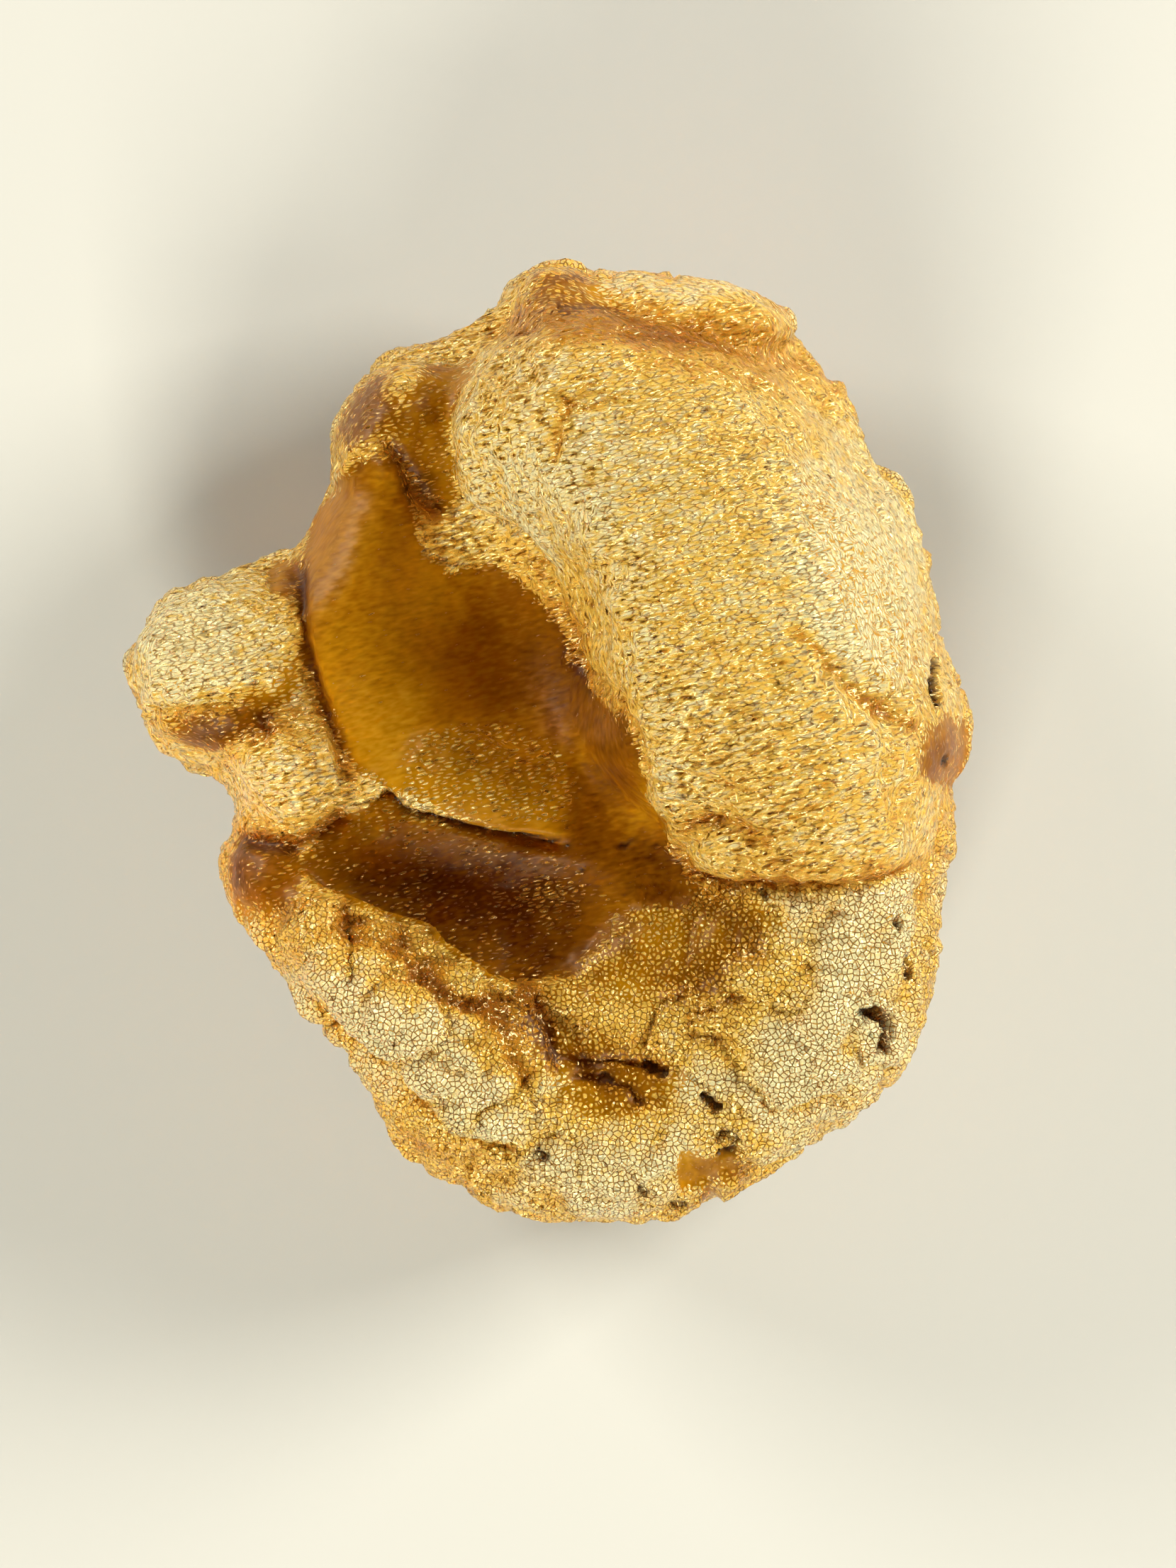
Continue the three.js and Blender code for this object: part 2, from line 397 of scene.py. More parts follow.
DOME_FURROW = [(13.6, 7.4), (15, 5.6), (16.5, 4.2), (18, 2.7), (20, 1.5), (22, 0.4)]
TOP_VALLEY = [(1.6, 25.9), (4, 25), (6, 24.2), (8, 23.5), (10, 23), (12, 22.8), (14, 22.6), (16, 21.8)]
EAR_CREASE = [(-14.6, 11.2), (-14.8, 9), (-14.7, 7.5), (-14.4, 6), (-14.1, 4.5), (-13.6, 2.8), (-12.6, 0.6),
              (-12, -1.2), (-11.4, -2.8)]
EAR_UNDER_CREASE = [(-23.9, 1.9), (-22.6, 1.5), (-21, 1.9), (-19.4, 2.4), (-17.8, 2.2)]
SHOULDER_GROOVE = [(-16.9, 2.2), (-16.6, 1), (-16.5, -0.6)]
CHEEK_CREASE = [(-18.2, -5.7), (-16.8, -5.9), (-15, -6.2), (-13, -5), (-11.6, -4)]
SMALL_LOBE_CREASE = [(-9.6, 17.6), (-8.9, 16.5), (-8.2, 15.6), (-7.4, 14.6), (-6, 13.2)]
BROWN_EDGE = [(-13, 15.2), (-11.8, 15.6), (-11.3, 16.7), (-10, 16.5), (-9.2, 17)]
CRACK = [(-11.2, -3.6), (-10.2, -2.9), (-9.6, -2.5), (-9, -3), (-8.3, -3.7), (-7.5, -4.1), (-6, -4.5),
         (-4, -4.9), (-3, -5.1), (-1.6, -5.5), (0.2, -5.9), (1.6, -6.2)]
LENS_EDGE = [(3.9, -9.4), (3.2, -11.5), (2, -13), (0.5, -13.8), (-1, -14.3), (-2.2, -14.5), (-3.5, -14),
             (-5, -13), (-6.2, -12.2), (-7, -11.3), (-8, -10.8), (-10, -10.4), (-12, -9.5), (-13.5, -8.8),
             (-14.9, -7.5)]
LONG_CREASE = [(-14.4, -13.4), (-13, -14.8), (-12, -16), (-11, -16.8), (-10, -17.8), (-8.3, -18.9),
               (-8, -19.9), (-6.5, -21), (-5, -22), (-4, -22.9), (-3, -23.4), (-0.8, -24)]
RIM_HOLLOW = [(-10.4, -12.6), (-9, -12.8), (-7.4, -13.6), (-5.4, -15.2), (-3.6, -16)]
CHEEK_RIDGE = [(-14.4, -10.2), (-13.6, -11.6), (-12.6, -13), (-12, -14.2)]
CHEEK_GROOVE = [(-12.6, -9.8), (-12, -11.4), (-11.6, -13), (-11.4, -14.2)]
FOLD_LINE = [(-4.6, -21.2), (-3.4, -20.8), (-2.3, -20.2), (-0.9, -18.9)]
BELOW_CLIFF_LINE = [(-0.2, -18), (1.8, -18.6), (3.6, -18.6), (5.4, -19.1), (7, -19.4)]
LOWER_LINE = [(0.6, -19.4), (2.7, -19.6), (4.5, -20.3), (5.6, -21.8)]
HOLE_ROLL = [(14.6, -15.8), (15.8, -16), (17.5, -15.6), (18.6, -15.9)]
HOLE_FOLD = [(16.6, -16.6), (17, -17.6), (17.4, -18.6)]
RIM_SLIVER = [(-18.6, -3), (-17.8, -4.4), (-16.8, -5.6)]
CLIFF = [(-2.2, -14.6), (-1.3, -15.5), (-0.7, -16.7), (-0.5, -17.9), (-0.2, -18.8), (0.4, -19.6)]
print(f"the crack runs {sum(math.dist(a, b) for a, b in zip(CRACK, CRACK[1:])):.1f} mm")

# %% [markdown]
# One function presses a groove along a line, and a negative depth makes it a ridge. Another raises the
# skin on the line's left side only, which gives the rolled lip. Both fade out towards the ends of the
# line.

# %% Press grooves and raise lips
FADE = 0.12  # of the line's length, at each end


def ends_faded(along, fade):
    return smooth_step(0, fade, along) * smooth_step(0, fade, 1 - along)


def groove(line, depth, half_width, fade=FADE):
    distance, _, along = line_field(line)
    return -depth * np.exp(-((distance / half_width) ** 2)) * ends_faded(along, fade)


def lip(line, height, reach, half_width, fade=FADE):
    distance, side, along = line_field(line)
    signed = distance * side
    rise = smooth_step(-half_width, half_width, signed)
    return height * rise * np.exp(-np.maximum(signed, 0) / reach) * ends_faded(along, fade)


FOLDS = [
    # lip, line, height, reach, half width, or groove, line, depth, half width; then a fade, if it isn't FADE
    (lip, DOME_EDGE, 0.9, 2.4, 0.5), (groove, DOME_EDGE, 0.5, 0.6),
    (lip, DOME_LIP, 0.9, 2.2, 0.4), (groove, DOME_LIP, 0.7, 0.6),
    (groove, LIP_CREASE, 0.3, 0.35), (groove, DOME_SCAR, 0.35, 0.4), (groove, DOME_FURROW, 0.8, 1.3, 0.3),
    (groove, TOP_VALLEY, 0.6, 1.1, 0.2), (groove, EAR_CREASE, 0.6, 0.5), (groove, EAR_UNDER_CREASE, 0.6, 0.5),
    (groove, SHOULDER_GROOVE, 0.35, 0.35, 0.3), (groove, CHEEK_CREASE, 0.6, 0.5),
    (groove, SMALL_LOBE_CREASE, 0.55, 0.4), (lip, BROWN_EDGE, 0.35, 1, 0.25),
    (lip, CRACK, 1.1, 3.2, 0.2), (groove, CRACK, 1.0, 0.34),
    (lip, LENS_EDGE[:6], 0.4, 1.8, 0.6, 0.2), (lip, LENS_EDGE[4:], 1.5, 1.8, 0.3, 0.1),
    (groove, LONG_CREASE, 1.6, 0.5), (lip, LONG_CREASE, 1.1, 2, 0.4),
    (groove, RIM_HOLLOW, 1.0, 1.2, 0.2), (groove, CHEEK_RIDGE, -0.8, 0.9, 0.2),
    (groove, CHEEK_GROOVE, 0.6, 0.5), (groove, FOLD_LINE, 0.4, 0.35, 0.2),
    (groove, BELOW_CLIFF_LINE, 0.5, 0.4, 0.2), (groove, LOWER_LINE, 0.5, 0.4, 0.2),
    (groove, HOLE_ROLL, -0.5, 0.6, 0.2), (groove, HOLE_FOLD, 0.4, 0.4, 0.3),
    (groove, RIM_SLIVER, -0.3, 0.5, 0.2), (lip, CLIFF[::-1], 1.1, 2, 0.35), (groove, CLIFF, 0.3, 0.4),
]
folds = np.zeros(point_count)
for shape, line, *sizes in FOLDS:
    folds += shape(line, *sizes)
points += facings * (folds * front * off_floor)[:, None]
write_points(points)
print(f"folds from {folds.min():.2f} to {folds.max():.2f} mm")

# %% [markdown]
# ## Where the skin is smooth
# Soft areas with ragged edges say where the skin is smooth and clear, and everything else is frosted. The
# areas are written on the mesh as an attribute named frost, which both the sculpting and the material
# read.

# %% The outlines of the clear areas
WINDOW = [(-14.4, 10.8), (-13.6, 13.6), (-12.6, 15), (-11.4, 16), (-9.4, 16.6), (-8.4, 15), (-7.6, 13),
          (-7, 10.8), (-6, 9.6), (-3.5, 10.3), (-1.5, 9.2), (-0.2, 7.2), (1.2, 5), (3.2, 2.3), (4.8, -0.4),
          (5.8, -3), (7.2, -5.8), (5.6, -7.2), (2.6, -6.8), (-1.6, -5.7), (-6, -4.4), (-9.6, -2.6),
          (-11, -1.6), (-12.4, 0.8), (-13.8, 3.2), (-14.4, 6), (-14.7, 9)]
RECESS = [(-4.2, 22), (-7, 22.2), (-8.5, 20.5), (-9.3, 18.5), (-8.8, 16.6), (-7.5, 14.5), (-6, 13.3),
          (-5.5, 14.5), (-5.4, 16.5), (-6, 18), (-5.8, 20)]
LENS = [(-15, -6.5), (-13, -4.9), (-10.9, -3.5), (-9.6, -2.9), (-8.3, -3.9), (-6, -4.7), (-3, -5.3),
        (0, -6), (2, -6.5), (3.6, -8)] + LENS_EDGE
LENS_END = [(1.6, -8.6), (3.8, -8.6), (3.9, -9.8), (3.2, -11.5), (2, -13), (0.5, -13.8), (-1.4, -14.2),
            (-1.2, -13), (0.4, -12), (1.4, -10.4)]
OVAL_PATCH = [(-8.8, -1.5), (-7.8, 0.4), (-5.5, 1.2), (-2, 0.8), (0.8, -0.6), (2, -2.6), (1.2, -4.6),
              (-2, -4.9), (-6, -4.2), (-8.4, -3.2)]
CHEEK_END = [(-19.2, -5.4), (-15.4, -5.9), (-14.6, -7.4), (-14.9, -9.2), (-16.6, -10.4), (-19.4, -10)]
BELOW_CLIFF = [(0, -18.1), (3, -18.3), (5, -18.8), (6.5, -19.2), (6, -20.5), (5.5, -21.3), (3.5, -21.5),
               (0.6, -20)]
BOTTOM_PATCH = [(7.4, -24.3), (9.6, -23.8), (11.2, -23.6), (10.4, -25), (9.6, -26.2), (7.6, -26)]
EAR_PATCH = [(-16.4, 8.4), (-15, 8), (-14.8, 10.5), (-16.4, 10.2)]
EAR_LIP_PATCH = [(-22.4, 0.9), (-20.4, -0.7), (-18.6, -0.2), (-16.8, 0.8), (-15.2, 2.4), (-14.4, 4.8),
                 (-15, 5), (-16.2, 3.4), (-18, 2), (-20.2, 1.3)]
LIP_FOOT = [(1.4, -6.4), (4, -6.2), (6.8, -6.2), (8, -7.6), (8.6, -9), (7, -9.8), (5, -10.2), (2, -9.6)]
TIP_PATCH = [(-0.8, 25.4), (1, 24.6), (4.4, 25), (3.6, 26.8), (1, 28), (-0.8, 27.4)]
KNOB = [(21.4, -0.9), (22, 0.9), (23.4, 1.6), (25, 0.8), (25.2, -1.6), (23.8, -2.8), (22, -2.4)]
RIGHT_FLANK = [(14, 17), (17, 14), (20, 11), (22, 7), (22, 3), (19, 3), (16.6, 7), (14.6, 11)]
UNDER_DOME = [(4, -9.5), (8, -9.6), (12, -8.8), (14, -11), (10, -14), (6, -15.6), (2, -15.4), (-0.6, -15.4),
              (1, -14.4), (3, -12.4)]
VALLEY = [(-1.8, -15.6), (0, -16), (2, -17.2), (6, -18.4), (8, -19.6), (6.6, -21.6), (3, -22.6),
          (0.6, -20.6), (-0.8, -18.6), (-2, -17)]
SMALL_LOBE = [(-12.6, 21), (-10, 21.6), (-8.6, 19.6), (-8.8, 17.6), (-11, 17), (-13.4, 18)]
CLEAR_AREAS = [
    # outline, how clear it is, softness of its edge
    (WINDOW, 1.0, 0.5), (RECESS, 0.62, 0.5), (LENS, 0.68, 0.3), (LENS_END, 1.0, 0.9), (CHEEK_END, 0.65, 0.6),
    (BELOW_CLIFF, 0.6, 0.6), (BOTTOM_PATCH, 0.8, 0.4), (EAR_PATCH, 0.8, 0.4), (LIP_FOOT, 0.9, 0.5),
    (EAR_LIP_PATCH, 0.6, 0.6), (TIP_PATCH, 0.5, 0.6), (KNOB, 0.72, 0.4), (RIGHT_FLANK, 0.24, 2),
    (SMALL_LOBE, 0.55, 1), (UNDER_DOME, 0.5, 1.6), (VALLEY, 0.5, 1),
]
print(f"{len(CLEAR_AREAS)} clear areas")

# %% [markdown]
# Clear skin isn't evenly clear. The oval patch in the window is dimmer, the lens is flecked with frost,
# and thin films lie on it and on the window. Some of the back is clear too.

# %% How clear each point is
OVAL_DIMMED = 0.46
LENS_FLECKS = 0.26
FULLY_CLEAR = 0.99
LENS_FILM = (0.16, (-0.4, -9), (1.8, 1.6))  # how dense it is, its middle and its half sizes
WINDOW_FILM = 0.16
BACK_CLEARNESS = 0.7


def write_attribute(name, values):
    skin.data.attributes.new(name, "FLOAT", "POINT").data.foreach_set("value", values.astype(np.float32))


def spot(places, middle, half_sizes):
    """1 in the middle of an upright oval, with a flat top and a soft edge."""
    dx = (places[:, 0] - middle[0]) / half_sizes[0]
    dy = (places[:, 1] - middle[1]) / half_sizes[1]
    return np.exp(-((dx * dx + dy * dy) ** 1.5))


ragged = wavering(points, size=1.6, sway=0.8, seed=40)


def area_mask(outline, soft):
    return smooth_step(-soft, soft, area_field(outline, ragged))


clear = np.zeros(point_count)
for outline, clearness, soft in CLEAR_AREAS:
    clear = np.maximum(clear, clearness * area_mask(outline, soft))
clear = clear * (1 - OVAL_DIMMED * area_mask(OVAL_PATCH, 0.5))
lens_flecks = LENS_FLECKS * rough_noise(points, size=1.5, seed=75) * area_mask(LENS, 0.5)
clear += lens_flecks * (clear < FULLY_CLEAR)
clear -= LENS_FILM[0] * spot(points, *LENS_FILM[1:])
clear *= front
window_film = smooth_step(0.25, 0.6, rough_noise(points, size=3.4, seed=70)) * area_mask(WINDOW, 0.5)
back_windows = smooth_step(0.3, 0.5, rough_noise(points, size=7, seed=90)) * (1 - front)
clear = np.maximum(clear * (1 - WINDOW_FILM * window_film), BACK_CLEARNESS * back_windows)
clear = np.clip(clear, 0, 1)
frost = 1 - clear
write_attribute("frost", frost)
print(f"{clear.mean():.2f} of the skin is clear")

# %% [markdown]
# ## The tone of the resin, with painted light and shade
# How thick and stained the resin is under each place, with painted shade and painted light on top, is a
# second
# attribute, tone: 0 where it is pale, 1 where it is darkest brown. Each row pulls the tone towards a new
# value inside a soft oval, and later rows go on top. A few rows are painted shade and a few are painted
# light.

# %% Tone spots
TONE_AT_REST = 0.37
TONE_SWING = 0.14
TONE_AND_PAINTED_LIGHT_SPOTS = [
    # middle, half sizes, tone
    # painted shade: under the dome's lip at (14.5, -7.4), in the valley under the top ridge at (6, 23.7) and
    # (1, 24.6), and along the ear's lower edge at (-18.4, 1.2); painted light: on the ear at (-21, 5), on the
    # dome's right flank at (18, 9.5) and on the lower-left fold at (-8, -18.4)
    ((0.8, -11.4), (4, 3.4), 0.94), ((-5, -9), (10, 4.2), 0.92), ((2.6, -1.4), (3, 6), 0.85),
    ((-1.6, 4.4), (4.6, 6.6), 0.74), ((1.4, 4), (1.6, 4.4), 0.86), ((5.6, -6.8), (3, 1.6), 0.9),
    ((10.6, -11.6), (3.6, 2.6), 0.7), ((6, -11.6), (6, 3.8), 0.6), ((2.6, -18.8), (4.8, 2.8), 0.72),
    ((-8, -14), (2.2, 2), 0.72), ((-3, -15.6), (1.8, 1.3), 0.85), ((1.2, 26.6), (2, 1.5), 0.9),
    ((-7.6, 15), (1.4, 2.4), 0.75), ((-7, 19.4), (1.8, 3), 0.42), ((11.6, 21.8), (5, 1.3), 0.6),
    ((14.5, -7.4), (6.5, 1), 0.65), ((23.2, -0.8), (1.9, 2), 0.6), ((-17.2, -7.6), (3, 2.8), 0.75),
    ((4, -19.6), (3.6, 1.8), 0.55), ((9.4, -24.9), (2, 1.4), 0.65), ((-4, -15.6), (3, 1), 0.5),
    ((-11.5, 9), (3.4, 7), 0.5), ((18, 9.5), (4.5, 7), 0.06), ((-21, 5), (4, 4), 0.0),
    ((16, -18.5), (7, 4.5), 0.05), ((6, 26), (6, 1.3), 0.2), ((-8, -18.4), (5, 3.4), 0.05),
    ((-11, 19), (3, 3.4), 0.7), ((-16, -1.4), (3, 3), 0.2), ((3, -25), (6, 2), 0.25),
    ((6, 23.7), (8, 1.6), 0.85), ((1, 24.6), (4, 1.2), 0.85), ((-1.7, -16.6), (2.2, 2.6), 1.2),
    ((6.3, -8.6), (2, 1.2), 0.9), ((-10.8, -11.4), (3.2, 1), 1.0), ((-18.4, 1.2), (4.2, 1.6), 0.75),
    ((17, -11.6), (4, 3), 0.08), ((8.4, 3.4), (4, 5), 0.42), ((2, 15.6), (5, 4), 0.25),
    ((11, -3.4), (5, 3), 0.48), ((-3.4, -2), (6.4, 3.6), 0.5),
]

tone = np.full(point_count, TONE_AT_REST)
for middle, half_sizes, wanted in TONE_AND_PAINTED_LIGHT_SPOTS:
    tone += (wanted - tone) * spot(ragged, middle, half_sizes) * front
tone += TONE_SWING * rough_noise(points, size=2.2, seed=120)
print(f"tone averages {tone.mean():.2f}")

# %% [markdown]
# ## Dried skin
# Three kinds of relief cover the frosted parts. The dome and the ear are wrinkled, with fine ripples that
# run across the lump. The crust along the bottom and the side has dried into small cells and larger
# blisters, as mud does, with creases across them. And all of it is lumpy. The ripples come from noise
# that is stretched along X.

# %% Wrinkles, cells and lumps
CRUST = [(-19.5, -9), (-14.6, -9), (-12, -10), (-8, -11.4), (-4, -14.6), (1, -14.4), (4.4, -11),
         (5.4, -7.6), (8, -8), (15, -8.6), (21.5, -7), (23.2, -3), (26, -3), (26, -30), (-19.5, -30)]
RIPPLE_STRETCH = (0.42, 1.35, 1)
RIPPLE_SLOPE = 0.22
RIPPLES = 0.2  # these heights are in millimetres
CELLS = 0.13
BLISTERS = 0.4
CREASES = 0.5
LUMPS = (0.06, 0.44)  # everywhere, and as much more on frosted skin
CRUST_EDGE = 0.8
CELL_WALL = 0.35  # how far a wall reaches from the border, as a share of the size
BLISTER_WALL = 0.6
CREASE_WALL = 0.16

crust = np.maximum(smooth_step(-CRUST_EDGE, CRUST_EDGE, area_field(CRUST)) * front, 1 - front)
ripple_grid = wavering(points, size=5, sway=1.6, seed=140) * RIPPLE_STRETCH
ripple_grid[:, 1] -= RIPPLE_SLOPE * points[:, 0]
ripples = 1 - 2 * np.abs(rough_noise(ripple_grid, size=0.95, seed=150, layers=2))
cell_places = wavering(points, size=1.2, sway=0.3, seed=160)
cells = smooth_step(0, CELL_WALL, cell_border(cell_places, size=0.95, seed=170))
blisters = smooth_step(0, BLISTER_WALL, cell_border(points, size=2.6, seed=180))
lumps = rough_noise(points, size=3.2, seed=190)
crease_places = wavering(points, size=3, sway=0.8, seed=210)
creases = smooth_step(0, CREASE_WALL, np.abs(rough_noise(crease_places, size=4.6, seed=220, layers=2)))
skin_relief = (
    frost * (1 - crust) * RIPPLES * ripples
    + frost * crust * (CELLS * cells + BLISTERS * blisters + CREASES * creases)
    + (LUMPS[0] + LUMPS[1] * frost) * lumps
)
points += read_vectors("normal") * (skin_relief * off_floor)[:, None]
write_points(points)
write_attribute("crust", crust)
print(f"skin relief from {skin_relief.min():.2f} to {skin_relief.max():.2f} mm")

# %% [markdown]
# The creases are darkened with painted shade, and the raised lips and ridges are lightened with painted
# light.
# On the crust, the creases and the low borders of the blisters get painted shade, and on the wrinkled skin
# the crests of the ripples get painted light. So the same lines and the same relief also change the tone.

# %% Paint shade into the creases and light onto the lips
CREASES_WITH_PAINTED_SHADE = [
    # line, how much darker it is
    (DOME_LIP, 0.5), (LIP_CREASE, 0.4), (EAR_CREASE, 0.5), (CHEEK_CREASE, 0.5), (SMALL_LOBE_CREASE, 0.4),
    (LONG_CREASE, 1.2), (FOLD_LINE, 0.5), (BELOW_CLIFF_LINE, 0.4), (LOWER_LINE, 0.4), (CHEEK_GROOVE, 0.7),
    (RIM_HOLLOW, 0.8), (CLIFF, 0.8), (DOME_SCAR, 0.4), (DOME_FURROW, 0.45), (TOP_VALLEY, 0.15),
    (HOLE_FOLD, 0.4), (SHOULDER_GROOVE, 0.4),
]
PAINTED_SHADE_HALF_WIDTH = 0.5
PAINTED_LIGHT_ON_LIPS = 0.25
CRUST_BLOTCHES = 0.36
PALER_CRUST = 0.1
CREASE_PAINTED_SHADE = 0.2
BLISTER_PAINTED_SHADE = 0.1
PALER_FROST = 0.08
PAINTED_LIGHT_ON_RIPPLES = 0.12

# painted shade along each crease, and painted light on the raised lips and ridges
for line, darker in CREASES_WITH_PAINTED_SHADE:
    tone += groove(line, -darker, PAINTED_SHADE_HALF_WIDTH) * front
tone -= PAINTED_LIGHT_ON_LIPS * np.clip(folds, 0, 1)
tone += crust * (CRUST_BLOTCHES * rough_noise(points, size=3.6, seed=230) - PALER_CRUST)
# painted shade in the crust's creases and between its blisters, and painted light on the ripples' crests
crust_painted_shade = CREASE_PAINTED_SHADE * (1 - creases) + BLISTER_PAINTED_SHADE * (1 - blisters) - PALER_FROST
tone += frost * (crust * crust_painted_shade - (1 - crust) * PAINTED_LIGHT_ON_RIPPLES * ripples)
write_attribute("tone", np.clip(tone, 0, 1))
print(f"tone now averages {tone.mean():.2f}")

# %% [markdown]
# ## Pits
# A few small holes are sunk into the crust, where bark or an insect was stuck, and bark is still in them.
# Each pit is a short line with a width and a depth. One attribute marks the pits and the crack, and both are
# coloured nearly black: in the pits for the bark in them, in the crack as painted shade.

# %% Pits, the dirt in them and the crack's painted shade
PITS = [
    # line, half width, depth
    ([(18.3, -15.9), (19, -15.9), (19.7, -16.4), (19.8, -17.2), (19.6, -17.9)], 0.34, 1.3),
    ([(20.3, -10.5), (20.4, -10.8)], 0.2, 0.5), ([(20.8, -12.8), (20.8, -13)], 0.17, 0.4),
    ([(20.9, -13.5), (20.9, -13.7)], 0.16, 0.4), ([(5.5, -19), (6.6, -19.3)], 0.2, 0.7),
    ([(3, -19.6), (3.7, -19.8)], 0.13, 0.4), ([(9, -20.8), (9.8, -21.4)], 0.22, 0.8),
    ([(9.9, -23), (10.5, -23), (10.8, -23.4)], 0.2, 0.7), ([(10, -24), (10.6, -23.8)], 0.16, 0.5),
    ([(-0.8, -24), (-0.4, -24.3)], 0.24, 0.7), ([(12.2, -8.6), (12.6, -9)], 0.14, 0.3),
    ([(5.4, -26.2), (5.6, -26.4)], 0.22, 0.5), ([(7.3, -27.2), (7.8, -27.3)], 0.2, 0.5),
    ([(22.5, 4.7), (22.3, 3.6), (22.6, 2.2)], 0.2, 0.8), ([(23.1, -1), (23.1, -1.3)], 0.18, 0.3),
    ([(4, -6.1), (4.8, -6)], 0.1, 0.3), ([(1.9, -7.5), (2, -7.4)], 0.1, 0.2),
]
PIT_WALL = (1.5, 0.5)  # in half widths, from the rim to the full depth
PIT_DIRT = (1.7, 0.9)
CRACK_PAINTED_SHADE = (0.6, 0.25)
CRACK_TIP = 0.2  # as a share of the crack's full width
CRACK_TAPER = 0.4  # of its length, at each end
CRACK_ENDS = 0.05

pit_places = wavering(points, size=0.8, sway=0.2, seed=200)
pit_depth = np.zeros(point_count)
dirt_and_painted_shade = np.zeros(point_count)
for line, half_width, depth in PITS:
    distance = line_field(line, pit_places)[0]
    pit_depth = np.maximum(pit_depth, depth * smooth_step(*PIT_WALL, distance / half_width))
    dirt_and_painted_shade = np.maximum(dirt_and_painted_shade, smooth_step(*PIT_DIRT, distance / half_width))
# the crack is darkened with painted shade, widest along its middle
crack_distance, _, crack_along = line_field(CRACK)
crack_width = CRACK_TIP + (1 - CRACK_TIP) * ends_faded(crack_along, CRACK_TAPER)
crack_painted_shade = smooth_step(*CRACK_PAINTED_SHADE, crack_distance / crack_width) * ends_faded(crack_along, CRACK_ENDS)
dirt_and_painted_shade = np.maximum(dirt_and_painted_shade, crack_painted_shade)
pit_depth *= front
dirt_and_painted_shade *= front
points -= read_vectors("normal") * pit_depth[:, None]
write_points(points)
write_attribute("dirt_and_painted_shade", dirt_and_painted_shade)
print(f"{len(PITS)} pits, the deepest {pit_depth.max():.1f} mm")

# %% [markdown]
# ## A map for the finest cells
# The finest cells of the dried skin are hardly larger than the mesh's squares, so the material draws them
# on a flat map. Each face is laid on the map by the way it faces: from above, from the side or from the
# end. On the dome and the ear the map is turned and squeezed, which draws the cells out into wrinkles.
# There is a seam wherever two of these maps meet, and among so many cells it can't be told from a border.

# %% A flat map for the cells
WRINKLE_SQUEEZE = (0.5, 1.4)
WRINKLE_TURN = math.radians(14)
MAP_GAP = 70  # millimetres, more than the lump's length, so that no two maps overlap
WRINKLE_GAP = 300


def flat_map():
    face_count = len(skin.data.polygons)
    corner_points = np.empty(len(skin.data.loops), int)
    skin.data.loops.foreach_get("vertex_index", corner_points)
    corner_totals = np.empty(face_count, int)
    skin.data.polygons.foreach_get("loop_total", corner_totals)
    face_of_corner = np.repeat(np.arange(face_count), corner_totals)
    face_facings = np.empty(3 * face_count)
    skin.data.polygons.foreach_get("normal", face_facings)
    toward = np.abs(face_facings.reshape(-1, 3)).argmax(axis=1)[face_of_corner]
    x, y, z = points[corner_points].T
    across = np.where(toward == 0, y + MAP_GAP, x)
    up = np.where(toward == 2, y, z + MAP_GAP * (1 + toward))
    first_corners = np.concatenate([[0], np.cumsum(corner_totals)[:-1]])
    wrinkled = (crust[corner_points[first_corners]] < 0.5)[face_of_corner]
    turned = across * math.cos(WRINKLE_TURN) + up * math.sin(WRINKLE_TURN)
    raised = up * math.cos(WRINKLE_TURN) - across * math.sin(WRINKLE_TURN)
    across = np.where(wrinkled, turned * WRINKLE_SQUEEZE[0], across)
    up = np.where(wrinkled, raised * WRINKLE_SQUEEZE[1] + WRINKLE_GAP, up)
    return np.stack([across, up], axis=1)


map_places = flat_map()
skin.data.uv_layers.new(name="cell_map").data.foreach_set("uv", map_places.astype(np.float32).ravel())
print(f"map of {len(map_places)} corners")

# %% [markdown]
# ## The resin
# One material does for the whole lump, because it is one body of resin: only its skin differs. It is
# built from nodes, so a few helpers come first: one makes a node and fills its inputs, and the others do
# sums with it.

# %% Helpers for the material
def fill(tree, socket, value):
    """Links the socket if the value is another socket, and sets it if the value is a number or a tuple."""
    if isinstance(value, bpy.types.NodeSocket):
        tree.links.new(value, socket)
    elif socket.type == "RGBA":
        socket.default_value = (*value, 1)
    else:
        socket.default_value = value


def node(tree, kind, inputs=(), **settings):
    made = tree.nodes.new(kind)
    for key, value in settings.items():
        setattr(made, key, value)
    for key, value in dict(inputs).items():
        fill(tree, made.inputs[key], value)
    return made


def attribute(tree, name):
    return node(tree, "ShaderNodeAttribute", attribute_name=name).outputs["Fac"]


def mixed_colour(tree, share, first, second):
    return node(tree, "ShaderNodeMix", {0: share, 6: first, 7: second}, data_type="RGBA").outputs[2]


def arithmetic(tree, operation, first, second):
    return node(tree, "ShaderNodeMath", {0: first, 1: second}, operation=operation).outputs[0]


def times(tree, first, second):
    return arithmetic(tree, "MULTIPLY", first, second)


def added(tree, first, *others):
    for other in others:
        first = arithmetic(tree, "ADD", first, other)
    return first


def swing(tree, value, width):
    """Turns a value that runs from 0 to 1 into one that runs from minus half a width to half a width."""
    return times(tree, arithmetic(tree, "SUBTRACT", value, 0.5), width)


def ramped(tree, value, low_value, high_value, low_result=0.0, high_result=1.0):
    limits = {"From Min": low_value, "From Max": high_value, "To Min": low_result, "To Max": high_result}
    ramp = node(tree, "ShaderNodeMapRange", {"Value": value, **limits}, interpolation_type="SMOOTHSTEP")
    return ramp.outputs["Result"]


def noise_texture(tree, place, size, detail, dimensions):
    wanted = {"Vector": place, "Scale": 1 / size, "Detail": detail}
    return node(tree, "ShaderNodeTexNoise", wanted, noise_dimensions=dimensions)


